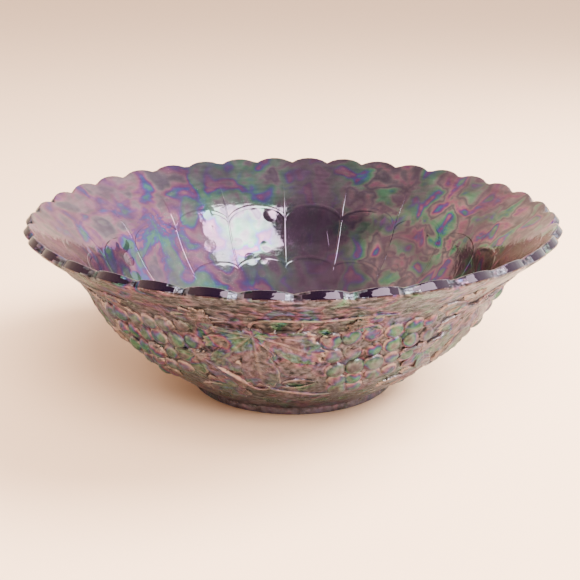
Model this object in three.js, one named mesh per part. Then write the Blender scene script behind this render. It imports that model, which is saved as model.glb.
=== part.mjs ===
// Pressed carnival glass bowl with a scalloped, flared rim: grape clusters, vine leaves and
// stems in relief outside, an arcade of ribs and round arches inside.
// Millimetres, +Z up. The origin is the centre of the foot's underside, where the bowl stands.
// The casting is divided at the lines where the mould's base plate, body and plunger shaped it.
import * as THREE from 'three';

// Driving dimensions
const RIM_DIAMETER = 233;      // over the tips of the scallops
const HEIGHT = 78.5;           // foot to the top of the scallops
const FOOT_DIAMETER = 94;
const FOOT_HEIGHT = 3.2;
const FOOT_WIDTH = 4.2;        // of the ring the bowl stands on
const GLASS = 4;               // thickness of wall and edge
const FLOOR_GLASS = 4.6;
const GAP = 0.3;               // between neighbouring solids
const SHOULDER_DIAMETER = 181; // where the wall is steepest and begins to flare
const SHOULDER_HEIGHT = 49;
const PLAIN_HEIGHT = 66;       // where the relief ends and the plain lip begins
const FOOT_SLOPE = 33;         // degrees from level, where the wall leaves the foot
const SHOULDER_SLOPE = 67;
const LIP_SLOPE = 41;
const SCALLOPS = 36;
const SCALLOP_DEPTH = 2.8;     // notch to tip, along the lip
const RIM_BAND = 5.5;          // scalloped band, from its root to the notches
const RIM_BEVEL = 0.7;         // fire-polished corners of the edge
const SCALLOP_TURN = 4.8;      // degrees from +Y to the nearest scallop tip

// Relief outside
const REPEATS = 6;             // cluster and leaf pairs round the bowl
const CLUSTER_TURN = 158;      // degrees clockwise from +Y to the first cluster
const CLUSTER_LENGTH = 48;
const CLUSTER_WIDTH = 37;
const CLUSTER_LEAN = 4;        // of its tip to the left of its middle
const CLUSTER_HEIGHT = 42;     // of its middle above the table
const CLUSTER_RELIEF = 2.6;
const LEAF_TURN = 187;
const LEAF_SIZE = 40;
const LEAF_HEIGHT = 47;
const LEAF_RELIEF = 1.6;
const STEM_DIAMETER = 1.9;
const STEM_SPACE = 3;          // between a stem's middle and the leaf it goes round

// Relief inside
const PANELS = 18;
const RIB_TURN = -2.8;         // degrees from +Y to the first rib
const RIB_WIDTH = 1.5;
const RIB_RELIEF = 1.1;
const RIB_FOOT = 27;           // height where the ribs begin
const RIB_HEAD = 66;
const ARCH_CROWN = 57;
const ARCH_MARGIN = 2.4;       // between a rib's flank and the arch beside it
const ARCH_WIDTH = 1.2;
const ARCH_RELIEF = 0.8;

// Facets
const ROUND_STEPS = 72;
const FACET_LENGTH = 6.5;      // longest step up the wall
const STEPS_PER_SCALLOP = 4;
const PAD_STEPS = 20;
const PAD_RINGS = 8;
const STEM_STEPS = 14;
const STEM_QUARTER_STEPS = 3;
const RIB_STEPS = 8;
const ARCH_STEPS = 14;

// Derived sizes
const footRadius = FOOT_DIAMETER / 2;
const degrees = (angle) => angle * Math.PI / 180;
const along = (slope) => new THREE.Vector2(Math.cos(degrees(slope)), Math.sin(degrees(slope)));
const lipDirection = along(LIP_SLOPE);
const lipNormal = new THREE.Vector2(lipDirection.y, -lipDirection.x);
const tipOuter = new THREE.Vector2(RIM_DIAMETER / 2 + RIM_BEVEL * lipDirection.y,
  HEIGHT - (GLASS - RIM_BEVEL) * lipDirection.x);
const notchOuter = tipOuter.clone().addScaledVector(lipDirection, -SCALLOP_DEPTH);

const glass = (color, roughness) => new THREE.MeshStandardMaterial({ color, roughness, metalness: 0.55 });
const wallGlass = glass(0x7d6880, 0.25);
const rimGlass = glass(0x2e1c38, 0.12);
const reliefGlass = glass(0x8a7a86, 0.28);
const bowl = new THREE.Group();

function add(name, geometry, material) {
  const mesh = new THREE.Mesh(geometry, material);
  mesh.name = name;
  bowl.add(mesh);
}

// Outer face of the wall in section: body and lip, two cubic curves that share a tangent
function curve(start, startSlope, end, endSlope) {
  const reach = start.distanceTo(end) / 3;
  const leave = start.clone().addScaledVector(along(startSlope), reach);
  const arrive = end.clone().addScaledVector(along(endSlope), -reach);
  return new THREE.CubicBezierCurve(start, leave, arrive, end);
}
const wallStart = new THREE.Vector2(footRadius, FOOT_HEIGHT);
const shoulder = new THREE.Vector2(SHOULDER_DIAMETER / 2, SHOULDER_HEIGHT);
const section = new THREE.CurvePath();
section.add(curve(wallStart, FOOT_SLOPE, shoulder, SHOULDER_SLOPE));
section.add(curve(shoulder, SHOULDER_SLOPE, notchOuter, LIP_SLOPE));
const sectionLength = section.getLength();

// A point of the section at share t of its length, moved through the glass by depth
function sectionPoint(t, depth) {
  const tangent = section.getTangent(t);
  return section.getPoint(t).add(new THREE.Vector2(-tangent.y, tangent.x).multiplyScalar(depth));
}

// The share of the section's length at which the given depth lies at a height, by halving
function shareAtHeight(height, depth) {
  let low = 0;
  let high = 1;
  for (let i = 0; i < 30; i++) {
    const middle = (low + high) / 2;
    if (sectionPoint(middle, depth).y < height) low = middle;
    else high = middle;
  }
  return (low + high) / 2;
}

// The shell between two shares of the section, GLASS thick, as a closed lathe profile
function shellProfile(from, to) {
  const steps = Math.ceil((to - from) * sectionLength / FACET_LENGTH);
  const outer = [];
  const inner = [];
  for (let i = 0; i <= steps; i++) {
    const t = from + (to - from) * i / steps;
    outer.push(sectionPoint(t, 0));
    inner.push(sectionPoint(t, GLASS));
  }
  return [...outer, ...inner.reverse(), outer[0].clone()];
}

function lathe(points, steps = ROUND_STEPS) {
  return new THREE.LatheGeometry(points, steps).rotateX(Math.PI / 2);
}

// A section point swung round the axis: turn in degrees clockwise from +Y
function swing(point, turn) {
  const angle = degrees(turn);
  return new THREE.Vector3(point.x * Math.sin(angle), point.x * Math.cos(angle), point.y);
}

// A point near the wall: turn, height of the face at depth, lift off that face
function wallPoint(turn, height, depth, lift) {
  return swing(sectionPoint(shareAtHeight(height, depth), depth + lift), turn);
}

function remap(geometry, move) {
  const place = geometry.attributes.position;
  const point = new THREE.Vector3();
  for (let i = 0; i < place.count; i++) {
    point.fromBufferAttribute(place, i);
    const moved = move(point);
    place.setXYZ(i, moved.x, moved.y, moved.z);
  }
  return geometry;
}

// Foot ring, a plain band pressed by the base plate, flat underneath
function footRing() {
  const inner = footRadius - FOOT_WIDTH;
  const top = FOOT_HEIGHT - GAP;
  const chamfer = 0.5;
  add('foot_ring', lathe([
    new THREE.Vector2(inner, 0),
    new THREE.Vector2(footRadius - chamfer, 0),
    new THREE.Vector2(footRadius, chamfer),
    new THREE.Vector2(footRadius, top),
    new THREE.Vector2(inner, top),
    new THREE.Vector2(inner, 0),
  ]), wallGlass);
}

// Floor disc inside the foot, up to the wall's start
function floorDisc() {
  const edge = sectionPoint(0, 0);
  const innerEdge = sectionPoint(0, GLASS);
  const hollow = 1.2;
  add('bowl_floor', lathe([
    new THREE.Vector2(0, FOOT_HEIGHT),
    new THREE.Vector2(edge.x - GAP, FOOT_HEIGHT),
    new THREE.Vector2(innerEdge.x - GAP, innerEdge.y),
    new THREE.Vector2(innerEdge.x * 0.6, FOOT_HEIGHT + FLOOR_GLASS - hollow * 0.5),
    new THREE.Vector2(0, FOOT_HEIGHT + FLOOR_GLASS - hollow),
  ]), wallGlass);
}

// The wall carries the relief, from the foot to the plain band
const plainShare = shareAtHeight(PLAIN_HEIGHT, 0);
function bodyWall() {
  add('bowl_wall', lathe(shellProfile(0, plainShare)), wallGlass);
}

// The lip flares from the plain band to the root of the scallops
function flaredLip() {
  const start = plainShare + GAP / sectionLength;
  const end = 1 - (RIM_BAND + GAP) / sectionLength;
  add('flared_lip', lathe(shellProfile(start, end)), wallGlass);
}

// Scalloped band: each scallop is an arc of one circle, and they meet in sharp notches
function scallopReach(angle) {
  const pitch = Math.PI * RIM_DIAMETER / SCALLOPS;
  const radius = (pitch * pitch / 4 + SCALLOP_DEPTH * SCALLOP_DEPTH) / (2 * SCALLOP_DEPTH);
  const turns = (angle - degrees(SCALLOP_TURN)) * SCALLOPS / (2 * Math.PI);
  const offset = (turns - Math.round(turns)) * pitch;
  return Math.sqrt(radius * radius - offset * offset) - (radius - SCALLOP_DEPTH);
}

function scallopedRim() {
  const root = 1 - RIM_BAND / sectionLength;
  const rootOuter = sectionPoint(root, 0);
  const rootInner = sectionPoint(root, GLASS);
  const edge = (back, depth) => notchOuter.clone().addScaledVector(lipDirection, -back)
    .addScaledVector(lipNormal, -depth);
  const profile = [
    rootOuter,
    edge(RIM_BEVEL, 0),
    edge(0, RIM_BEVEL),
    edge(0, GLASS - RIM_BEVEL),
    edge(RIM_BEVEL, GLASS),
    rootInner,
    rootOuter.clone(),
  ];
  const steps = SCALLOPS * STEPS_PER_SCALLOP;
  const band = lathe(profile, steps).rotateZ(degrees(90 - SCALLOP_TURN));
  const rootRadius = Math.max(rootOuter.x, rootInner.x) + 0.01;
  remap(band, (point) => {
    const radius = Math.hypot(point.x, point.y);
    if (radius <= rootRadius) return point;
    const angle = Math.atan2(point.x, point.y);
    const reach = scallopReach(angle);
    const moved = radius + reach * lipDirection.x;
    return new THREE.Vector3(moved * Math.sin(angle), moved * Math.cos(angle),
      point.z + reach * lipDirection.y);
  });
  add('scalloped_rim', band, rimGlass);
}

// A raised pad on the outer wall: outline gives its reach from the middle in each direction
function reliefPad(turn, height, relief, lean, outline) {
  const pad = new THREE.SphereGeometry(1, PAD_STEPS, PAD_RINGS).rotateX(Math.PI / 2);
  const middle = shareAtHeight(height, 0);
  return remap(pad, (point) => {
    const angle = Math.atan2(point.y, point.x);
    const share = Math.hypot(point.x, point.y);
    const up = outline(angle) * share * Math.sin(angle);
    const across = outline(angle) * share * Math.cos(angle) + lean * share * Math.sin(angle);
    const lift = GAP + (point.z > 0.01 ? relief * point.z : 0);
    const place = sectionPoint(middle + up / sectionLength, -lift);
    return swing(place, turn - across / place.x / degrees(1));
  });
}

// A grape cluster is broad at its shoulders and tapers to its tip
function clusterOutline(angle) {
  const width = CLUSTER_WIDTH / 2 * (1 + 0.28 * Math.sin(angle));
  const length = CLUSTER_LENGTH / 2;
  return 1 / Math.hypot(Math.cos(angle) / width, Math.sin(angle) / length);
}

// A vine leaf has five lobes, the longest pointing down
function leafOutline(angle) {
  const lobes = 5;
  const shape = 0.86 + 0.14 * Math.cos(lobes * (angle + Math.PI / 2));
  return LEAF_SIZE / 2 * shape;
}

// A stem starts by the cluster's tip, sweeps under the leaf and climbs on its far side
function vineStem(turn) {
  const lift = GAP + STEM_DIAMETER / 2;
  const reach = LEAF_SIZE / 2 + STEM_SPACE;
  const middle = shareAtHeight(LEAF_HEIGHT, 0);
  const route = [[0.62, -0.98], [0.3, -1.0], [-0.05, -1.0], [-0.45, -0.85], [-0.8, -0.55],
    [-0.96, -0.1], [-0.96, 0.4], [-1.0, 0.78]].map(([across, up]) => {
    const place = sectionPoint(middle + up * reach / sectionLength, -lift);
    return swing(place, turn - across * reach / place.x / degrees(1));
  });
  const round = new THREE.Shape();
  round.absarc(0, 0, STEM_DIAMETER / 2, 0, 2 * Math.PI);
  return new THREE.ExtrudeGeometry(round, {
    steps: STEM_STEPS,
    curveSegments: STEM_QUARTER_STEPS,
    extrudePath: new THREE.CatmullRomCurve3(route, false, 'centripetal'),
  });
}

// A bar laid on the inner wall: route gives turn and height for 0 to 1 along its length
function wallBar(route, width, relief, steps) {
  const bar = new THREE.BoxGeometry(1, 1, 1, 1, steps, 1);
  return remap(bar, (point) => {
    const t = point.y + 0.5;
    const at = route(t);
    const step = 0.002;
    const before = route(Math.max(t - step, 0));
    const after = route(Math.min(t + step, 1));
    const radius = placeRadius(at.height);
    const run = new THREE.Vector2((after.turn - before.turn) * degrees(1) * radius,
      after.height - before.height).normalize();
    const side = point.x * width;
    const turn = at.turn + side * run.y / (degrees(1) * radius);
    const facetSag = radius * (1 - Math.cos(Math.PI / ROUND_STEPS));
    const lift = GAP + facetSag + (point.z > 0 ? relief : 0);
    return wallPoint(turn, at.height - side * run.x, GLASS, lift);
  });
}

function placeRadius(height) {
  return sectionPoint(shareAtHeight(height, GLASS), GLASS).x;
}

function arcade() {
  const pitch = 360 / PANELS;
  for (let i = 0; i < PANELS; i++) {
    const turn = RIB_TURN + i * pitch;
    const rib = (t) => ({ turn, height: RIB_FOOT + (RIB_HEAD - RIB_FOOT) * t });
    add(`arcade_rib_${i + 1}`, wallBar(rib, RIB_WIDTH, RIB_RELIEF, RIB_STEPS), reliefGlass);
    const margin = (RIB_WIDTH / 2 + ARCH_MARGIN) / (degrees(1) * placeRadius(RIB_FOOT));
    const halfSpan = pitch / 2 - margin;
    const spring = ARCH_CROWN - halfSpan * degrees(1) * placeRadius(ARCH_CROWN);
    const legs = (spring - RIB_FOOT) / (spring - RIB_FOOT + Math.PI / 4 * 2 * (ARCH_CROWN - spring));
    const arch = (t) => archPoint(t, turn + pitch / 2, halfSpan, spring, legs / 2);
    add(`arcade_arch_${i + 1}`, wallBar(arch, ARCH_WIDTH, ARCH_RELIEF, ARCH_STEPS), reliefGlass);
  }
}

// Up one leg, round the crown and down the other leg
function archPoint(t, middle, halfSpan, spring, leg) {
  if (t < leg) return { turn: middle - halfSpan, height: RIB_FOOT + (spring - RIB_FOOT) * t / leg };
  if (t > 1 - leg) {
    return { turn: middle + halfSpan, height: RIB_FOOT + (spring - RIB_FOOT) * (1 - t) / leg };
  }
  const sweep = Math.PI * (1 - (t - leg) / (1 - 2 * leg));
  const rise = ARCH_CROWN - spring;
  return { turn: middle + halfSpan * Math.cos(sweep), height: spring + rise * Math.sin(sweep) };
}

function vine() {
  const pitch = 360 / REPEATS;
  for (let i = 0; i < REPEATS; i++) {
    const turn = CLUSTER_TURN + i * pitch;
    const leafTurn = LEAF_TURN + i * pitch;
    const cluster = reliefPad(turn, CLUSTER_HEIGHT, CLUSTER_RELIEF, CLUSTER_LEAN, clusterOutline);
    add(`grape_cluster_${i + 1}`, cluster, reliefGlass);
    const leaf = reliefPad(leafTurn, LEAF_HEIGHT, LEAF_RELIEF, 0, leafOutline);
    add(`vine_leaf_${i + 1}`, leaf, reliefGlass);
    add(`vine_stem_${i + 1}`, vineStem(leafTurn), reliefGlass);
  }
}

footRing();
floorDisc();
bodyWall();
flaredLip();
scallopedRim();
vine();
arcade();

export default bowl;
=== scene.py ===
import math
import random

import bpy
from mathutils import Matrix, Vector


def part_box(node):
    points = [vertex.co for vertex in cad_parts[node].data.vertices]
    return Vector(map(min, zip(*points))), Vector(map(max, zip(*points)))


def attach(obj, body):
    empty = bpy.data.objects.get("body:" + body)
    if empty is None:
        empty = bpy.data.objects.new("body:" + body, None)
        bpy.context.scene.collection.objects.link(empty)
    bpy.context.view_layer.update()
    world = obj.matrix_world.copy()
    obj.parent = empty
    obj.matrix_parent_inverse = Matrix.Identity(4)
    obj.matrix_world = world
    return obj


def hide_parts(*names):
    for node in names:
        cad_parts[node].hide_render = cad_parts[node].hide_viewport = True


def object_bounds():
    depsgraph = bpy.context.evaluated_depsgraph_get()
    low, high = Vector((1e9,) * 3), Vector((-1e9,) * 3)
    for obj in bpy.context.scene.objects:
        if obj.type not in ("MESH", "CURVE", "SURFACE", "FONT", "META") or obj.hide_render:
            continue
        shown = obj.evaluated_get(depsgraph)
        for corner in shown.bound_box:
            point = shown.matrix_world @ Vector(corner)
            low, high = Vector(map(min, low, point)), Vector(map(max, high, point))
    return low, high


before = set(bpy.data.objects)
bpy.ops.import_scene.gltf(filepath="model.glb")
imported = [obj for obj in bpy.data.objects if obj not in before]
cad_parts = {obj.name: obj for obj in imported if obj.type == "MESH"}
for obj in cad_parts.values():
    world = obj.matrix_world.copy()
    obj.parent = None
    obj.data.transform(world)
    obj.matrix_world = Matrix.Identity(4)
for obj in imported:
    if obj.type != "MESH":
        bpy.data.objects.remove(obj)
cad_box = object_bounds()

# The studio: a matt pale table top in a soft pale room. One large softbox behind the camera
# shows in the glass as a bright window and leaves matt things unlit. Two fill lights brighten
# the table top and the bowl, and are left out of reflections.
MM = 0.001
CAMERA_PLACE = (-1.25 * MM, -433.6 * MM, 187 * MM)
CAMERA_PITCH = 18.71
LENS = 62.3
TABLE_SIZE = 8
BOWL_MIDDLE = (0, 0, cad_box[1][2] / 2)


def srgb(code):
    channels = [int(code[i:i + 2], 16) / 255 for i in (1, 3, 5)]
    return [c / 12.92 if c <= 0.04045 else ((c + 0.055) / 1.055) ** 2.4 for c in channels] + [1.0]


def add_node(tree, kind, values=None, links=None, **settings):
    node = tree.nodes.new(kind)
    for name, value in settings.items():
        setattr(node, name, value)
    for socket, value in (values or {}).items():
        node.inputs[socket].default_value = value
    for socket, (source, output) in (links or {}).items():
        tree.links.new(source.outputs[output], node.inputs[socket])
    return node


def new_material(name):
    material = bpy.data.materials.new(name)
    material.use_nodes = True
    material.node_tree.nodes.clear()
    return material, material.node_tree


def softbox(name, place, aim, side, height, power, colour="#ffffff"):
    bpy.ops.object.light_add(type="AREA", location=place)
    light = bpy.context.object
    light.name = name
    light.rotation_euler = (Vector(aim) - Vector(place)).to_track_quat("-Z", "Y").to_euler()
    light.data.shape = "RECTANGLE"
    light.data.size = side
    light.data.size_y = height
    light.data.energy = power
    light.data.color = srgb(colour)[:3]
    return light


bpy.ops.object.camera_add(location=CAMERA_PLACE, rotation=(math.radians(90 - CAMERA_PITCH), 0, 0))
camera = bpy.context.object
camera.data.sensor_width = 36
camera.data.lens = LENS
camera.data.clip_start = 0.01
bpy.context.scene.camera = camera

bpy.ops.mesh.primitive_plane_add(size=TABLE_SIZE, location=(0, 2.5, 0))
table = bpy.context.object
table.name = "table_top"
# Matt peach-tinted paint: it spreads the light and takes a soft shadow, with hardly any sheen.
material, tree = new_material("matt pale table paint")
paint = add_node(tree, "ShaderNodeBsdfPrincipled",
                 {"Base Color": srgb("#f9d3b0"), "Roughness": 0.8, "Specular IOR Level": 0.2})
add_node(tree, "ShaderNodeOutputMaterial", links={"Surface": (paint, "BSDF")})
table.data.materials.append(material)

# The room is pale all round but for the dark end behind the camera and the dim ceiling, which
# the hollow shows as its dark panel. It is warm on the left and white on the window side.
world = bpy.data.worlds.new("pale room")
bpy.context.scene.world = world
world.use_nodes = True
world.node_tree.nodes.clear()
looking = add_node(world.node_tree, "ShaderNodeTexCoord")
heading = add_node(world.node_tree, "ShaderNodeSeparateXYZ", links={0: (looking, "Generated")})
lit_end = add_node(world.node_tree, "ShaderNodeMapRange", {"From Min": -0.66, "From Max": -0.2},
                   {"Value": (heading, "Y")}, interpolation_type="SMOOTHSTEP")
ceiling = add_node(world.node_tree, "ShaderNodeMapRange",
                   {"From Min": 0.68, "From Max": 0.94, "To Min": 1.0, "To Max": 0.3},
                   {"Value": (heading, "Z")}, interpolation_type="SMOOTHSTEP")
lit = add_node(world.node_tree, "ShaderNodeMath", {}, {0: (lit_end, "Result"), 1: (ceiling, "Result")},
               operation="MULTIPLY")
window_side = add_node(world.node_tree, "ShaderNodeMapRange", {"From Min": -0.6, "From Max": 0.6},
                       {"Value": (heading, "X")}, interpolation_type="SMOOTHSTEP")
lit_walls = add_node(world.node_tree, "ShaderNodeMix", {6: srgb("#ffe0c6"), 7: srgb("#fff8f2")},
                     {0: (window_side, "Result")}, data_type="RGBA")
walls = add_node(world.node_tree, "ShaderNodeMix", {6: srgb("#504552")},
                 {0: (lit, 0), 7: (lit_walls, 2)}, data_type="RGBA")
brightness = add_node(world.node_tree, "ShaderNodeMapRange", {"To Min": 2.2, "To Max": 3.4},
                      {"Value": (window_side, "Result")})
room = add_node(world.node_tree, "ShaderNodeBackground", {},
                {"Color": (walls, 2), "Strength": (brightness, "Result")})
add_node(world.node_tree, "ShaderNodeOutputWorld", links={"Surface": (room, "Background")})

window = softbox("softbox_behind_camera", (0.66, -0.76, 1.0), BOWL_MIDDLE, 1.0, 0.85, 62)
window.visible_diffuse = False
side_fill = softbox("fill_right", (0.75, 0.05, 0.8), (0.25, -0.05, 0), 0.6, 0.6, 60, "#fffaf4")
side_fill.visible_glossy = False
front_fill = softbox("fill_front", (0.2, -1.4, 1.8), (0, -0.2, 0), 1.4, 1.4, 150, "#fff4e8")
front_fill.visible_glossy = False

# Foot ring: the low band of amethyst glass that the bowl stands on. It is pressed by the mould's
# base plate in one casting with the rest and is ground flat underneath.
GAP = 0.3 * MM
FOOT_WIDTH = 4.2 * MM
FOOT_BEVEL = 0.8 * MM
FOOT_WAIST = 0.6
foot_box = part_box("foot_ring")
FOOT_RADIUS = (foot_box[1][0] - foot_box[0][0]) / 2
FOOT_TOP = foot_box[1][2] + GAP
# The film of metal salts goes through these colours as it gets thicker, and then starts again.
# Along raised edges and veins a pale pearly colour is painted over it, whatever its thickness: partly thin
# worn film, partly a painted highlight.
FILM = [(0.0, "#42404a"), (0.1, "#535156"), (0.2, "#705f63"), (0.3, "#7c5062"), (0.42, "#5b3062"),
        (0.51, "#313f78"), (0.58, "#2a6062"), (0.7, "#3d6e52"), (0.8, "#547060"), (0.9, "#61605f"),
        (1.0, "#42404a")]
FULL_COAT = 0.95
PEARL_HIGHLIGHT = "#958884"
SPRAY_REACH = 100 * MM
STREAK_MM = 9


def clear_selection():
    if bpy.context.mode != "OBJECT":
        bpy.ops.object.mode_set(mode="OBJECT")
    bpy.ops.object.select_all(action="DESELECT")


def spun_piece(name, outline, turns=288):
    """A closed outline of (r, z) points, drawn as a ring of edges and spun once round the axis."""
    clear_selection()
    bpy.ops.mesh.primitive_circle_add(vertices=len(outline), radius=0.01)
    piece = bpy.context.object
    piece.name = name
    for vertex, (r, z) in zip(piece.data.vertices, outline):
        vertex.co = (0, r, z)
    bpy.ops.object.mode_set(mode="EDIT")
    bpy.ops.mesh.select_all(action="SELECT")
    bpy.ops.mesh.spin(steps=turns, angle=2 * math.pi, center=(0, 0, 0), axis=(0, 0, 1))
    bpy.ops.mesh.select_all(action="SELECT")
    bpy.ops.mesh.remove_doubles(threshold=0.01 * MM)
    bpy.ops.mesh.normals_make_consistent(inside=False)
    bpy.ops.object.mode_set(mode="OBJECT")
    bpy.ops.object.shade_smooth_by_angle(angle=math.radians(40))
    return piece


def film_colour(tree, place, relief, across, patch_mm, cycles, start, relief_cycles):
    """The film's colour: its thickness wanders in patches and grows with the relief."""
    patches = add_node(tree, "ShaderNodeTexNoise",
                       {"Scale": 1000 / patch_mm, "Detail": 2.0, "Roughness": 0.45, "Distortion": 0.4},
                       {"Vector": (place, "Object")})
    spread = add_node(tree, "ShaderNodeMapRange", {"To Min": cycles[0], "To Max": cycles[1]},
                      {"Value": (across, "Result")})
    thickness = add_node(tree, "ShaderNodeMath", {}, {0: (patches, "Fac"), 1: (spread, "Result")},
                         operation="MULTIPLY")
    raised = add_node(tree, "ShaderNodeMath", {1: relief_cycles}, {0: (relief, "Fac"), 2: (thickness, 0)},
                      operation="MULTIPLY_ADD")
    started = add_node(tree, "ShaderNodeMath", {1: start}, {0: (raised, 0)}, operation="ADD")
    order = add_node(tree, "ShaderNodeMath", {}, {0: (started, 0)}, operation="FRACT")
    film = add_node(tree, "ShaderNodeValToRGB", links={"Fac": (order, 0)})
    while len(film.color_ramp.elements) < len(FILM):
        film.color_ramp.elements.new(0.5)
    for element, (position, colour) in zip(film.color_ramp.elements, FILM):
        element.position = position
        element.color = srgb(colour)
    return film


def film_coverage(tree, place, across, worn_foot, patch_mm, coats):
    """How much film the glass keeps: in patches, by where the spray reached, and less at the foot."""
    cover = add_node(tree, "ShaderNodeTexNoise",
                     {"Scale": 1000 / (patch_mm * 1.7), "Detail": 4.0, "Roughness": 0.6},
                     {"Vector": (place, "Object")})
    amount = add_node(tree, "ShaderNodeMapRange",
                      {"From Min": 0.38, "From Max": 0.62, "To Min": FULL_COAT * 0.3, "To Max": FULL_COAT},
                      {"Value": (cover, "Fac")})
    sprayed = add_node(tree, "ShaderNodeValToRGB", links={"Fac": (across, "Result")})
    for position, share in coats:
        element = sprayed.color_ramp.elements.new(position)
        element.color = (share, share, share, 1.0)
    sprayed.color_ramp.elements.remove(sprayed.color_ramp.elements[-1])
    sprayed.color_ramp.elements.remove(sprayed.color_ramp.elements[0])
    covered = add_node(tree, "ShaderNodeMath", {}, {0: (amount, "Result"), 1: (sprayed, "Color")},
                       operation="MULTIPLY")
    return add_node(tree, "ShaderNodeMath", {}, {0: (covered, 0), 1: (worn_foot, "Result")},
                    operation="MULTIPLY")


def lustre(name, patch_mm, cycles, start, relief_cycles, bare, coats, shine, grazing, rough, ripple_mm,
           ripple_depth_mm, streak_depth_mm, level, hollow_shade):
    """Pressed amethyst glass under a thin film of metal salts, whose thickness sets the colour."""
    material, tree = new_material(name)
    place = add_node(tree, "ShaderNodeTexCoord")
    relief = add_node(tree, "ShaderNodeAttribute", attribute_name="relief")
    edge = add_node(tree, "ShaderNodeAttribute", attribute_name="edge")
    spot = add_node(tree, "ShaderNodeSeparateXYZ", links={0: (place, "Object")})
    across = add_node(tree, "ShaderNodeMapRange", {"From Min": -SPRAY_REACH, "From Max": SPRAY_REACH},
                      {"Value": (spot, "X")})
    film = film_colour(tree, place, relief, across, patch_mm, cycles, start, relief_cycles)
    worn_foot = add_node(tree, "ShaderNodeMapRange",
                         {"From Min": 1 * MM, "From Max": 12 * MM, "To Min": 0.35, "To Max": 1.0},
                         {"Value": (spot, "Z")})
    coated = film_coverage(tree, place, across, worn_foot, patch_mm, coats)
    colour = add_node(tree, "ShaderNodeMix", {6: srgb(bare)},
                      {0: (coated, 0), 7: (film, "Color")}, data_type="RGBA")

    # The chilled skin of the glass: ripples all over, and flow lines, strongest on the plain band.
    lying = add_node(tree, "ShaderNodeMapping", {"Scale": (1, 1, 7)}, {"Vector": (place, "Object")})
    streaks = add_node(tree, "ShaderNodeTexNoise", {"Scale": 1000 / STREAK_MM, "Detail": 3.0},
                       {"Vector": (lying, "Vector")})
    ripple = add_node(tree, "ShaderNodeTexNoise", {"Scale": 1000 / ripple_mm, "Detail": 2.5},
                      {"Vector": (place, "Object")})
    plain_band = add_node(tree, "ShaderNodeMapRange",
                          {"From Min": 56 * MM, "From Max": 66 * MM, "To Min": 0.3, "To Max": 0.95},
                          {"Value": (spot, "Z")})
    banded = add_node(tree, "ShaderNodeMath", {}, {0: (streaks, "Fac"), 1: (plain_band, "Result")},
                      operation="MULTIPLY")
    both = add_node(tree, "ShaderNodeMath", {}, {0: (banded, 0), 1: (ripple, "Fac")}, operation="ADD")
    middle = add_node(tree, "ShaderNodeMath", {1: -0.5, 2: -0.5}, {0: (plain_band, "Result")},
                      operation="MULTIPLY_ADD")
    offset = add_node(tree, "ShaderNodeMath", {}, {0: (both, 0), 1: (middle, 0)}, operation="ADD")

    # Painted shade and light: the colour is darkened in the hollows of that skin and lightened on its
    # crests, but less so on the smooth tops and at the foot.
    painted_hollow_shade = add_node(tree, "ShaderNodeMapRange",
                       {"From Min": -0.18, "From Max": 0.18,
                        "To Min": level * (1 - hollow_shade), "To Max": level * (1 + hollow_shade)},
                       {"Value": (offset, 0)})
    uneven = add_node(tree, "ShaderNodeMath", {1: -0.7}, {0: (relief, "Fac"), 2: (worn_foot, "Result")},
                      operation="MULTIPLY_ADD", use_clamp=True)
    evened = add_node(tree, "ShaderNodeMix", {2: level}, {0: (uneven, 0), 3: (painted_hollow_shade, "Result")})
    # Painted light: the colour is lightened towards the bottom of the foot, 1.9 times at 1 mm up, fading out
    # by 12 mm.
    painted_foot_light = add_node(tree, "ShaderNodeMapRange",
                         {"From Min": 1 * MM, "From Max": 12 * MM, "To Min": 1.9, "To Max": 1.0},
                         {"Value": (spot, "Z")})
    level_with_foot_light = add_node(tree, "ShaderNodeMath", {}, {0: (evened, 0), 1: (painted_foot_light, "Result")},
                         operation="MULTIPLY")
    shaded = add_node(tree, "ShaderNodeVectorMath", {}, {0: (colour, 2), "Scale": (level_with_foot_light, 0)},
                      operation="SCALE")
    # Painted highlight: the edge attribute mixes in a pale pearly colour, partly standing for thin worn
    # film.
    painted_highlight = add_node(tree, "ShaderNodeMix", {7: srgb(PEARL_HIGHLIGHT)},
                      {0: (edge, "Fac"), 6: (shaded, "Vector")}, data_type="RGBA")

    smears = add_node(tree, "ShaderNodeTexNoise", {"Scale": 1000 / STREAK_MM, "Detail": 2.0},
                      {"Vector": (place, "Object")})
    gloss = add_node(tree, "ShaderNodeMapRange",
                     {"From Min": 0.3, "From Max": 0.7, "To Min": rough * 0.7, "To Max": rough * 1.3},
                     {"Value": (smears, "Fac")})
    drawn = add_node(tree, "ShaderNodeBump", {"Strength": 1.0, "Distance": streak_depth_mm * MM},
                     {"Height": (banded, 0)})
    skin = add_node(tree, "ShaderNodeBump", {"Strength": 1.0, "Distance": ripple_depth_mm * MM},
                    {"Height": (ripple, "Fac"), "Normal": (drawn, "Normal")})
    glass = add_node(tree, "ShaderNodeBsdfPrincipled",
                     {"Metallic": shine, "IOR": 1.52, "Specular Tint": srgb(grazing)},
                     {"Base Color": (painted_highlight, 2), "Roughness": (gloss, "Result"), "Normal": (skin, "Normal")})
    add_node(tree, "ShaderNodeOutputMaterial", links={"Surface": (glass, "BSDF")})
    return material


# Outside, the film lies on the mould's rough skin: a satin, mottled grey, pink and green surface,
# with its creases darkened by painted shade, and a green and blue eye on each raised grape.
outside = lustre("pressed amethyst glass, lustred outside", patch_mm=9, cycles=(2.3, 2.3), start=0,
                 relief_cycles=0.58, bare="#646272", coats=((0.0, 1.0), (1.0, 1.0)), shine=0.78,
                 grazing="#c4d2de", rough=0.34, ripple_mm=2.2, ripple_depth_mm=0.75,
                 streak_depth_mm=0.45, level=0.68, hollow_shade=0.85)


def finish_piece(piece, slot, *nodes):
    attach(piece, "root")
    if nodes:
        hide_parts(*nodes)


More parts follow.
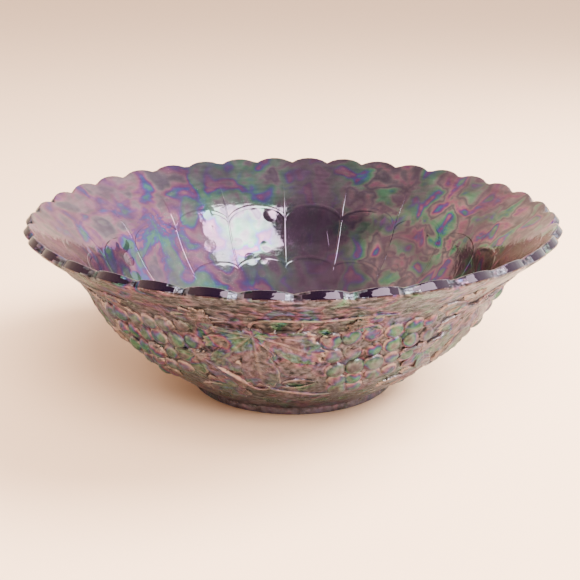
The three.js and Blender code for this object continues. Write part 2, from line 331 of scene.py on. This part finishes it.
inner_foot = FOOT_RADIUS - FOOT_WIDTH
foot = spun_piece("foot_ring_glass", [
    (inner_foot + FOOT_BEVEL / 2, 0), (FOOT_RADIUS - FOOT_BEVEL, 0),
    (FOOT_RADIUS - 0.25 * MM, 0.2 * MM), (FOOT_RADIUS, FOOT_BEVEL),
    (FOOT_RADIUS - 0.1 * MM, FOOT_TOP * FOOT_WAIST), (FOOT_RADIUS, FOOT_TOP),
    (inner_foot - 1.0 * MM, FOOT_TOP), (inner_foot, FOOT_TOP * FOOT_WAIST),
    (inner_foot, FOOT_BEVEL / 2)])
foot.data.materials.append(outside)
finish_piece(foot, "body_glass", "foot_ring")

# Floor: the disc of glass inside the foot, plain underneath and slightly dished by the plunger.
# It and the wall take their place from one line, drawn as two curves that meet at the shoulder,
# where the wall is steepest.
GLASS = 4 * MM
FLOOR_GLASS = 3.4 * MM
FLOOR_STEPS = 8
SHOULDER = Vector((90.5 * MM, 49 * MM))
FOOT_SLOPE = math.radians(33)
SHOULDER_SLOPE = math.radians(67)
LIP_SLOPE = math.radians(41)
SCALLOP_DEPTH = 2.8 * MM
RIM_BEVEL = 0.7 * MM
rim_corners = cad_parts["scalloped_rim"].data.vertices
RIM_RADIUS = max(math.hypot(corner.co.x, corner.co.y) for corner in rim_corners) - GAP
RIM_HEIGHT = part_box("scalloped_rim")[1][2] - GAP
lip_way = Vector((math.cos(LIP_SLOPE), math.sin(LIP_SLOPE)))
tip = Vector((RIM_RADIUS + RIM_BEVEL * lip_way.y, RIM_HEIGHT - (GLASS - RIM_BEVEL) * lip_way.x))
notch = tip - lip_way * SCALLOP_DEPTH


def section_curve(start, leave, end, arrive, steps=200):
    reach = (end - start).length / 3
    first = start + Vector((math.cos(leave), math.sin(leave))) * reach
    second = end - Vector((math.cos(arrive), math.sin(arrive))) * reach
    points = []
    for i in range(steps + 1):
        t = i / steps
        u = 1 - t
        points.append(start * u ** 3 + first * 3 * u * u * t + second * 3 * u * t * t + end * t ** 3)
    return points


wall_line = section_curve(Vector((FOOT_RADIUS, FOOT_TOP)), FOOT_SLOPE, SHOULDER, SHOULDER_SLOPE)
wall_line += section_curve(SHOULDER, SHOULDER_SLOPE, notch, LIP_SLOPE)[1:]
wall_lengths = [0.0]
for before, after in zip(wall_line, wall_line[1:]):
    wall_lengths.append(wall_lengths[-1] + (after - before).length)
WALL_LENGTH = wall_lengths[-1]


def section(length, depth=0.0):
    """Place on the section, by length up from the foot and depth into the glass, as (r, z)."""
    low = 0
    high = len(wall_line) - 1
    while high - low > 1:
        middle = (low + high) // 2
        if wall_lengths[middle] > length:
            high = middle
        else:
            low = middle
    run = wall_line[high] - wall_line[low]
    share = (length - wall_lengths[low]) / (wall_lengths[high] - wall_lengths[low])
    ahead = (wall_line[min(high + 2, len(wall_line) - 1)] - wall_line[max(low - 2, 0)]).normalized()
    return wall_line[low] + run * share + Vector((-ahead.y, ahead.x)) * depth


def material_inside(piece, material):
    """Give the faces that look at the bowl's hollow their own material."""
    piece.data.materials.append(material)
    slot = len(piece.data.materials) - 1
    for polygon in piece.data.polygons:
        outwards = Vector((polygon.center.x, polygon.center.y, 0)).normalized()
        across = polygon.normal.dot(outwards)
        if polygon.normal.z - across > 0.75:
            polygon.material_index = slot


# Inside, the film lies on the plunger's polished face: a glossy surface like a dark mirror, with
# broad bands of colour on the left, nearly bare amethyst in the middle, and closer bands of pink,
# blue and green on the right.
inside = lustre("pressed amethyst glass, lustred inside", patch_mm=13, cycles=(1.5, 3.1), start=-0.46,
                relief_cycles=0.2, bare="#4c3a4c",
                coats=((0.05, 0.75), (0.3, 0.7), (0.43, 0.65), (0.52, 0.12), (0.6, 0.15), (0.71, 0.85),
                       (1.0, 0.85)),
                shine=0.85, grazing="#f0e0d4", rough=0.1, ripple_mm=7, ripple_depth_mm=0.15,
                streak_depth_mm=0.1, level=1.2, hollow_shade=0.15)

floor_edge = section(0)
floor_inner = section(0, GLASS)
floor_middle = FOOT_TOP + FLOOR_GLASS
floor_outline = [(0, FOOT_TOP), (floor_edge.x * 0.5, FOOT_TOP), (floor_edge.x, FOOT_TOP),
                 (floor_inner.x, floor_inner.y)]
for i in range(1, FLOOR_STEPS + 1):
    share = 1 - i / FLOOR_STEPS
    floor_outline.append((floor_inner.x * share, floor_middle + (floor_inner.y - floor_middle) * share ** 2))
floor = spun_piece("bowl_floor_glass", floor_outline)
floor.data.materials.append(outside)
material_inside(floor, inside)
finish_piece(floor, "body_glass", "bowl_floor")

# Wall: the round body of the bowl, 4 mm of pressed glass between the mould's body, which gives
# it the relief outside, and the plunger, which gives it the arcade inside.
PLAIN_HEIGHT = 66 * MM


def length_at(height, depth=0.0):
    """Length up the section at which it reaches a height."""
    low = 0.0
    high = WALL_LENGTH
    for _ in range(30):
        middle = (low + high) / 2
        if section(middle, depth).y < height:
            low = middle
        else:
            high = middle
    return (low + high) / 2


def shell_outline(start, end, steps):
    lengths = [start + (end - start) * i / steps for i in range(steps + 1)]
    outer = [section(length) for length in lengths]
    inner = [section(length, GLASS) for length in reversed(lengths)]
    return outer + inner


lip_root = length_at(PLAIN_HEIGHT)
wall = spun_piece("bowl_wall_glass", shell_outline(0, lip_root, 50))
wall.data.materials.append(outside)
material_inside(wall, inside)
finish_piece(wall, "body_glass", "bowl_wall")

# Lip: the plain band of the same glass above the relief. It is pressed upright and flared by
# hand while it is hot, which leaves fine flow lines round it.
RIM_BAND = 5.5 * MM
lip = spun_piece("flared_lip_glass", shell_outline(lip_root, WALL_LENGTH - RIM_BAND, 10))
lip.data.materials.append(outside)
material_inside(lip, inside)
finish_piece(lip, "body_glass", "flared_lip")

# Scalloped rim: the edge of the same casting. The mould's ring presses 36 scallops, and the
# fire-polished end of each one is a dark oval facet where the film did not take.
SCALLOPS = 36
SCALLOP_TURN = math.radians(4.8)
STEPS_PER_SCALLOP = 24
RIM_SIDES = 32
CORNER_STEPS = 6
LOW_CORNER = 0.7
LOW_CORNER_AT_NOTCH = 1.2
TOP_CORNER = 0.5
TOP_CORNER_AT_NOTCH = 1.1
FACET_DEPTH = 1.2 * MM
FACET_HALF_WIDTH = 0.44
FACET_HALF_HEIGHT = 0.52
FACET_EDGE = 0.6


def scallop_share(angle):
    """How far an angle clockwise from +Y lies from the nearest scallop's middle, -0.5 to 0.5."""
    turns = (angle - SCALLOP_TURN) * SCALLOPS / (2 * math.pi)
    return turns - round(turns)


def scallop_reach(share):
    pitch = 2 * math.pi * RIM_RADIUS / SCALLOPS
    radius = (pitch ** 2 / 4 + SCALLOP_DEPTH ** 2) / (2 * SCALLOP_DEPTH)
    return math.sqrt(radius ** 2 - (share * pitch) ** 2) - (radius - SCALLOP_DEPTH)


def rim_outline(low_corner, top_corner):
    """The band in section as (distance back from the edge, depth into the glass), RIM_SIDES long."""
    points = [(RIM_BAND + (low_corner - RIM_BAND) * i / CORNER_STEPS, 0) for i in range(CORNER_STEPS + 1)]
    for i in range(1, CORNER_STEPS + 1):
        turn = math.pi / 2 * i / CORNER_STEPS
        points.append((low_corner * (1 - math.sin(turn)), low_corner * (1 - math.cos(turn))))
    for i in range(1, 4):
        points.append((0, low_corner + (GLASS - low_corner - top_corner) * i / 4))
    for i in range(CORNER_STEPS + 1):
        turn = math.pi / 2 * i / CORNER_STEPS
        points.append((top_corner * (1 - math.cos(turn)), GLASS - top_corner * (1 - math.sin(turn))))
    for i in range(1, CORNER_STEPS + 1):
        points.append((top_corner + (RIM_BAND - top_corner) * i / CORNER_STEPS, GLASS))
    points += [(RIM_BAND, GLASS * share) for share in (0.75, 0.5, 0.25)]
    return points


clear_selection()
bpy.ops.mesh.primitive_torus_add(major_segments=SCALLOPS * STEPS_PER_SCALLOP, minor_segments=RIM_SIDES,
                                 major_radius=1.0, minor_radius=0.1)
rim = bpy.context.object
rim.name = "scalloped_rim_glass"
polish = rim.data.attributes.new("polish", "FLOAT", "POINT")
for vertex in rim.data.vertices:
    angle = math.atan2(vertex.co.x, vertex.co.y)
    side = math.atan2(vertex.co.z, math.hypot(vertex.co.x, vertex.co.y) - 1) / (2 * math.pi)
    share = scallop_share(angle)
    towards_notch = (2 * abs(share)) ** 4
    outline = rim_outline((LOW_CORNER + LOW_CORNER_AT_NOTCH * towards_notch) * MM,
                          (TOP_CORNER + TOP_CORNER_AT_NOTCH * towards_notch) * MM)
    back, depth = outline[round(side * RIM_SIDES) % RIM_SIDES]
    reach = scallop_reach(share) * (1 - back / RIM_BAND)
    place = notch + lip_way * (reach - back) + Vector((-lip_way.y, lip_way.x)) * depth
    if back > 0.9 * RIM_BAND:
        place = section(WALL_LENGTH - back, depth)
    vertex.co = (place.x * math.sin(angle), place.x * math.cos(angle), place.y)
    oval = (share / FACET_HALF_WIDTH) ** 2 + ((depth - GLASS * 0.5) / (GLASS * FACET_HALF_HEIGHT)) ** 2
    polish.data[vertex.index].value = (1 + FACET_EDGE - oval) if back < FACET_DEPTH else 0.0
bpy.ops.object.mode_set(mode="EDIT")
bpy.ops.mesh.select_all(action="SELECT")
bpy.ops.mesh.normals_make_consistent(inside=False)
bpy.ops.object.mode_set(mode="OBJECT")
bpy.ops.object.shade_smooth_by_angle(angle=math.radians(40))
rim.data.materials.append(outside)
material_inside(rim, inside)
# Bare fire-polished glass: nearly black, with a hard white glint where it faces the window.
material, tree = new_material("fire-polished amethyst glass, bare")
place = add_node(tree, "ShaderNodeTexCoord")
waves = add_node(tree, "ShaderNodeTexNoise", {"Scale": 1000 / 5}, {"Vector": (place, "Object")})
dimple = add_node(tree, "ShaderNodeBump", {"Distance": 0.25 * MM}, {"Height": (waves, "Fac")})
polished = add_node(tree, "ShaderNodeBsdfPrincipled",
                    {"Base Color": srgb("#0e0614"), "Roughness": 0.05, "IOR": 1.52,
                     "Specular Tint": srgb("#c4aabc")},
                    {"Normal": (dimple, "Normal")})
add_node(tree, "ShaderNodeOutputMaterial", links={"Surface": (polished, "BSDF")})
rim.data.materials.append(material)
bare_slot = len(rim.data.materials) - 1
polish = rim.data.attributes["polish"].data
for polygon in rim.data.polygons:
    if min(polish[corner].value for corner in polygon.vertices) > FACET_EDGE:
        polygon.material_index = bare_slot
finish_piece(rim, "rim_glass", "scalloped_rim")

# Grape clusters: pressed in high relief by the mould's body. Each grape is a bead of glass that
# stands half out of the wall, and the columns get shorter towards the cluster's outer shoulder.
REPEATS = 6
SINK = 0.5 * MM
GRAPE = 4.5 * MM
GRAPE_PITCH = 8.6 * MM
GRAPE_SHAPE = (1.0, 1.08, 0.74)
CLUSTER_TURN = math.radians(158)
CLUSTER_MIDDLE = length_at(42 * MM)
COLUMN_PITCH = 8.2 * MM
COLUMN_GRAPES = (5, 5, 4, 4, 3, 2)
COLUMN_LIFT = 0.8 * MM
COLUMN_LEAN = 0.3
LEAN_LOSS = 0.03
FIRST_GRAPE = (-21.4 * MM, 10.6 * MM)
UNEVEN = 0.5
HIGHLIGHT_RING = (0.8, 0.2, 0.1)
INNER_SINK = 0.02
random.seed(7)


def mark(piece, name, values):
    """Keep one value for each point, 0 to 1: relief shifts the film's colour, edge paints a pale highlight
    on it.
    """
    made = piece.data.attributes.new(name, "FLOAT", "POINT")
    made.data.foreach_set("value", values)


def lay_on_wall(piece, turn, middle, hollow_side=False):
    """Wrap a flat piece on the wall: x runs round it, y runs up it and z stands off it."""
    for vertex in piece.data.vertices:
        x, y, z = vertex.co
        place = section(middle + y, GLASS + z if hollow_side else -z)
        angle = turn + (x if hollow_side else -x) / place.x
        vertex.co = (place.x * math.sin(angle), place.x * math.cos(angle), place.y)


def join(pieces):
    clear_selection()
    for piece in pieces:
        piece.select_set(True)
    bpy.context.view_layer.objects.active = pieces[0]
    bpy.ops.object.join()
    return bpy.context.object


def settle(piece, angle=40):
    """Turn the faces outwards and smooth them, but for creases sharper than an angle in degrees."""
    clear_selection()
    piece.select_set(True)
    bpy.context.view_layer.objects.active = piece
    bpy.ops.object.mode_set(mode="EDIT")
    bpy.ops.mesh.select_all(action="SELECT")
    bpy.ops.mesh.normals_make_consistent(inside=False)
    bpy.ops.object.mode_set(mode="OBJECT")
    bpy.ops.object.shade_smooth_by_angle(angle=math.radians(angle))


def own_copy(piece):
    copy = piece.copy()
    copy.data = piece.data.copy()
    bpy.context.collection.objects.link(copy)
    return copy


def repeat_round(piece, name, count, material, slot, node):
    """Copies of a laid piece, each turned on by one repeat, clockwise like the nodes' numbers."""
    piece.data.materials.clear()
    piece.data.materials.append(material)
    for i in range(count):
        copy = piece if i == count - 1 else own_copy(piece)
        copy.name = f"{name}_{i + 1}"
        copy.data.transform(Matrix.Rotation(-i * 2 * math.pi / count, 4, "Z"))
        finish_piece(copy, slot, *([f"{node}_{i + 1}"] if node else []))


def show_through(piece, name, turn, middle, lift):
    """The hot glass follows the mould's relief on the hollow side too, by a lift in mm at most."""
    inner = own_copy(piece)
    top = max(vertex.co.z for vertex in inner.data.vertices)
    for vertex in inner.data.vertices:
        share = max(vertex.co.z / top, 0)
        vertex.co.x = -vertex.co.x
        vertex.co.z = (lift * share ** 4 - INNER_SINK) * MM
    inner.data.attributes.remove(inner.data.attributes["edge"])
    lay_on_wall(inner, turn, middle, True)
    settle(inner, 60)
    repeat_round(inner, name, REPEATS, inside, "relief_glass", None)


def grape_at(x, y, radius, sunk):
    """A bead cut off just below the wall's face, with a pale highlight painted in a ring round its foot."""
    clear_selection()
    bpy.ops.mesh.primitive_uv_sphere_add(segments=28, ring_count=16, radius=radius,
                                         location=(x, y, -radius * sunk))
    grape = bpy.context.object
    grape.scale = GRAPE_SHAPE
    bpy.ops.object.transform_apply(location=True, rotation=False, scale=True)
    bpy.ops.object.mode_set(mode="EDIT")
    bpy.ops.mesh.select_all(action="SELECT")
    bpy.ops.mesh.bisect(plane_co=(0, 0, -SINK), plane_no=(0, 0, 1), use_fill=True, clear_inner=True)
    bpy.ops.object.mode_set(mode="OBJECT")
    height = max(vertex.co.z for vertex in grape.data.vertices)
    rises = [max(vertex.co.z / height, 0) for vertex in grape.data.vertices]
    mark(grape, "relief", rises)
    # Painted highlight: a pale ring low on the bead.
    strength, height, width = HIGHLIGHT_RING
    mark(grape, "edge", [strength * math.exp(-((rise - height) / width) ** 2) for rise in rises])
    return grape


grapes = []
for column, count in enumerate(COLUMN_GRAPES):
    lean = COLUMN_LEAN - LEAN_LOSS * column
    for row in range(count):
        y = FIRST_GRAPE[1] + column * COLUMN_LIFT - row * GRAPE_PITCH
        y += random.uniform(-UNEVEN, UNEVEN) * MM
        x = FIRST_GRAPE[0] + column * COLUMN_PITCH - lean * (y - FIRST_GRAPE[1])
        x += random.uniform(-UNEVEN, UNEVEN) * MM
        grapes.append(grape_at(x, y, GRAPE * random.uniform(0.93, 1.06), random.uniform(0.1, 0.45)))
cluster = join(grapes)
show_through(cluster, "grape_cluster_inside", CLUSTER_TURN, CLUSTER_MIDDLE, 0.4)
lay_on_wall(cluster, CLUSTER_TURN, CLUSTER_MIDDLE)
settle(cluster)
repeat_round(cluster, "grape_cluster_glass", REPEATS, outside, "relief_glass", "grape_cluster")

# Vine leaves: glass pressed in lower relief beside each cluster. A leaf has six long lobes and
# two short ones round its stalk, a toothed edge, and a raised vein with finer ones down each lobe.
LEAF_TURN = math.radians(187)
LEAF_MIDDLE = length_at(47 * MM)
LEAF_STALK = (-3.6, 8.9)
SMALL_LEAVES = (((-13, -27), 0.5, -70), ((-20, 20.5), 0.42, -80), ((64, -6), 0.62, 8),
                ((36, 17), 0.35, 40))
LEAF_RELIEF = 1.3
FULL_RELIEF = 2.5
LOBES = ((172, 16, 16), (200, 21, 17), (230, 26, 19), (273, 34, 23), (335, 29, 25), (357, 23, 16),
         (60, 5, 60), (120, 5, 60))
TEETH = 58
TOOTH_SHARE = 0.09
VEIN_WIDTH = 0.6
VEIN_RISE = 0.6
BRANCH_PITCH = 4.6
BRANCH_WIDTH = 0.5
BRANCH_RISE = 0.35
DISH = 0.6
ROUNDED_SHARE = 0.9


def nearest_lobe(angle):
    """The lobe an angle in degrees falls on: its reach there, how far off its vein, its length."""
    best = (0, 0, 1)
    for direction, length, width in LOBES:
        off = (angle - direction + 180) % 360 - 180
        reach = length * (1 - 0.6 * min(abs(off) / width, 1.0) ** 3)
        if reach > best[0] and abs(off) < 1.5 * width:
            best = (reach, off, length)
    return best


def leaf_face(distance, share, off, length):
    """The leaf's height in mm, with veins and a dish between them, and how much pale highlight is painted on
    it.
    """
    ahead = distance * math.cos(math.radians(off))
    aside = abs(distance * math.sin(math.radians(off)))
    past = (share - ROUNDED_SHARE) / (1 - ROUNDED_SHARE)
    edge = 1 if past < 0 else math.sqrt(max(1 - past ** 2, 0))
    vein = math.exp(-(aside / VEIN_WIDTH) ** 2)
    branch = (ahead - aside * 1.1) % BRANCH_PITCH - BRANCH_PITCH / 2
    fine = math.exp(-(branch / BRANCH_WIDTH) ** 2) * min(aside / 1.5, 1)
    dish = DISH * min(aside / 6, 1)
    veins = VEIN_RISE * vein * (1.1 - ahead / length) + BRANCH_RISE * fine
    height = (LEAF_RELIEF - 0.5 + dish + veins) * edge
    # Painted highlight along the toothed outline and on the veins.
    outline = 0.6 if share > 0.95 else 0
    return height, max(0.25 * vein, 0.2 * fine, outline)


def flat_leaf(stalk, size, turned, segments, rings):
    """A leaf lying flat: its stalk's point in mm, its size as a share and its turn in degrees."""
    clear_selection()
    bpy.ops.mesh.primitive_uv_sphere_add(segments=segments, ring_count=rings, radius=1.0)
    made = bpy.context.object
    rises = []
    highlights = []
    for vertex in made.data.vertices:
        share = min(math.hypot(vertex.co.x, vertex.co.y), 1.0)
        angle = math.degrees(math.atan2(vertex.co.y, vertex.co.x)) % 360
        reach, off, length = nearest_lobe(angle)
        tooth = abs((angle / 360 * TEETH) % 1 - 0.5) * 2
        distance = reach * (1 + TOOTH_SHARE * (tooth - 0.5)) * share
        height, pale = leaf_face(distance, share, off, length) if vertex.co.z > 0.001 else (0, 0)
        rises.append(height / FULL_RELIEF)
        highlights.append(pale)
        turn = math.radians(angle + turned)
        vertex.co = ((stalk[0] + size * distance * math.cos(turn)) * MM,
                     (stalk[1] + size * distance * math.sin(turn)) * MM,
                     height * (0.4 + 0.6 * size) * MM if height > 0.02 else -SINK)
    mark(made, "relief", rises)
    mark(made, "edge", highlights)
    return made


leaf = flat_leaf(LEAF_STALK, 1, 0, 276, 44)
show_through(leaf, "vine_leaf_inside", LEAF_TURN, LEAF_MIDDLE, 0.12)
leaf = join([leaf] + [flat_leaf(*place, 120, 20) for place in SMALL_LEAVES])
lay_on_wall(leaf, LEAF_TURN, LEAF_MIDDLE)
settle(leaf, 50)
repeat_round(leaf, "vine_leaf_glass", REPEATS, outside, "relief_glass", "vine_leaf")

# Vine stems: rounded ridges of glass, from grooves cut in the same mould, that link each leaf to
# the next cluster, with a tendril, buds and slim leaves in the spaces between.
def ridge(route, width, rise, pale=0.5):
    """A tapered rounded ridge through flat points in mm, each (x, y) or (x, y, size), with a pale highlight
    painted along its top.
    """
    clear_selection()
    bpy.ops.curve.primitive_nurbs_path_add()
    path = bpy.context.object
    spline = path.data.splines[0]
    points = [tuple(point) + (1.0,) * (3 - len(point)) for point in route]
    while len(points) < 5:
        points.insert(1, tuple((a + b) / 2 for a, b in zip(points[0], points[1])))
    spline.points.add(len(points) - len(spline.points))
    for target, (x, y, size) in zip(spline.points, points):
        target.co = (x * MM, y * MM, 0, 1)
        target.radius = size
    spline.use_endpoint_u = True
    spline.order_u = 4
    spline.resolution_u = 8
    path.data.bevel_depth = width / 2 * MM
    path.data.bevel_resolution = 3
    path.data.use_fill_caps = True
    bpy.ops.object.convert(target="MESH")
    made = bpy.context.object
    made.data.transform(Matrix.Diagonal((1, 1, 2 * rise / width, 1)))
    rises = [max(vertex.co.z / (rise * MM), 0) for vertex in made.data.vertices]
    mark(made, "relief", [0.4 * share for share in rises])
    # Painted highlight: the edge value pales the top of the ridge, as strongly as pale says.
    mark(made, "edge", [pale * share ** 2 for share in rises])
    return made


main_vine = ridge([(-3.6, 8.9, 0.8), (-4.2, 12), (-4.2, 15.5), (-2, 18.5, 0.8), (3, 21), (12, 20.2),
                   (22, 20), (31, 20.5), (42, 22.5), (52, 20, 0.5)], 1.8, 0.8)
tendril = ridge([(15.3, 18.6, 0.8), (15.6, 15), (14.5, 12), (11, 9.5), (8, 9.2, 0.5)], 1.3, 0.8)
bud_loop = ridge([(-10, -23.5, 0.4), (-8, -27), (-4.8, -29.5), (-0.5, -28.5), (0.8, -25.3),
                  (-3, -23.6), (-7.5, -24.6, 0.4)], 1.3, 0.8)
low_vine = ridge([(-2, -27.5, 0.5), (2, -29.2), (8.3, -31.4), (14, -33.5), (19, -35.3, 0.8),
                  (28, -35, 0.4)], 1.6, 0.8)
bud_sides = [
    ridge([(4, -24, 0.3), (7, -20), (12, -18.5), (18, -21.5, 0.3)], 1.5, 0.9),
    ridge([(4, -24.5, 0.3), (8, -26.5), (13, -25.5), (18, -22.5, 0.3)], 1.5, 0.9)]
low_slim_leaf = [
    ridge([(-9, -29, 0.3), (-15, -26), (-21, -25), (-26, -21.4, 0.3)], 1.2, 0.6),
    ridge([(-9, -29, 0.3), (-14, -30), (-21, -28.5), (-26, -22.5, 0.3)], 1.2, 0.6),
    ridge([(-9, -29, 0.3), (-15, -28), (-24, -24, 0.3)], 0.9, 0.6)]
high_slim_leaf = [
    ridge([(-11.7, 17.2, 0.3), (-17, 19), (-22, 23, 0.8), (-28, 22), (-34, 17.6, 0.3)], 1.2, 0.6),
    ridge([(-11.7, 17.2, 0.3), (-18, 15.5), (-26, 15.5), (-34, 17.6, 0.3)], 1.2, 0.6)]
stem = join([main_vine, tendril, bud_loop, low_vine] + bud_sides + low_slim_leaf + high_slim_leaf)
lay_on_wall(stem, LEAF_TURN, LEAF_MIDDLE)
settle(stem, 60)
repeat_round(stem, "vine_stem_glass", REPEATS, outside, "relief_glass", "vine_stem")

# Arcade, ribs: the plunger is cut with thin upright grooves, which leave 18 low ribs of glass
# that divide the hollow into panels.
PANELS = 18
RIB_TURN = math.radians(-2.8)
RIB_FOOT = 27 * MM
RIB_HEAD = PLAIN_HEIGHT
RIB_WIDTH = 1.2
RIB_RELIEF = 0.14
rib_middle = length_at((RIB_FOOT + RIB_HEAD) / 2, GLASS)
rib_half = (length_at(RIB_HEAD, GLASS) - length_at(RIB_FOOT, GLASS)) / 2 / MM
rib = ridge([(0, -rib_half, 0.3), (0.1, -rib_half * 0.8), (-0.1, -rib_half * 0.3), (0.05, 0),
             (0, rib_half * 0.5), (0, rib_half, 0.4)], RIB_WIDTH, RIB_RELIEF, 0)
lay_on_wall(rib, RIB_TURN, rib_middle, True)
settle(rib, 60)
repeat_round(rib, "arcade_rib_glass", PANELS, inside, "arcade_glass", "arcade_rib")

# Arcade, arches: in each panel three shallow arches of the same glass spring from rib to rib, at
# the head, in the middle and low down. Each is a soft swelling that only shows in reflections.
PANEL_TURN = 2 * math.pi / PANELS
ARCH_WIDTH = 2.4
ARCH_MARGIN = 0.4
ARCH_STEPS = 12
ARCHES = ((68, 4.5, 0.05), (57.5, 7.5, 0.16), (33, 5.0, 0.12))
arches = []
for crown_height, rise, relief in ARCHES:
    crown_length = length_at(crown_height * MM, GLASS)
    half_span = PANEL_TURN / 2 * section(crown_length, GLASS).x / MM - ARCH_MARGIN
    spring = (crown_length - rib_middle) / MM - rise
    turns = [math.pi * i / ARCH_STEPS for i in range(ARCH_STEPS + 1)]
    arches.append(ridge([(-half_span * math.cos(turn), spring + rise * math.sin(turn),
                          0.6 + 0.4 * math.sin(turn)) for turn in turns], ARCH_WIDTH, relief, 0))
arch = join(arches)
lay_on_wall(arch, RIB_TURN + PANEL_TURN / 2, rib_middle, True)
settle(arch, 60)
repeat_round(arch, "arcade_arch_glass", PANELS, inside, "arcade_glass", "arcade_arch")
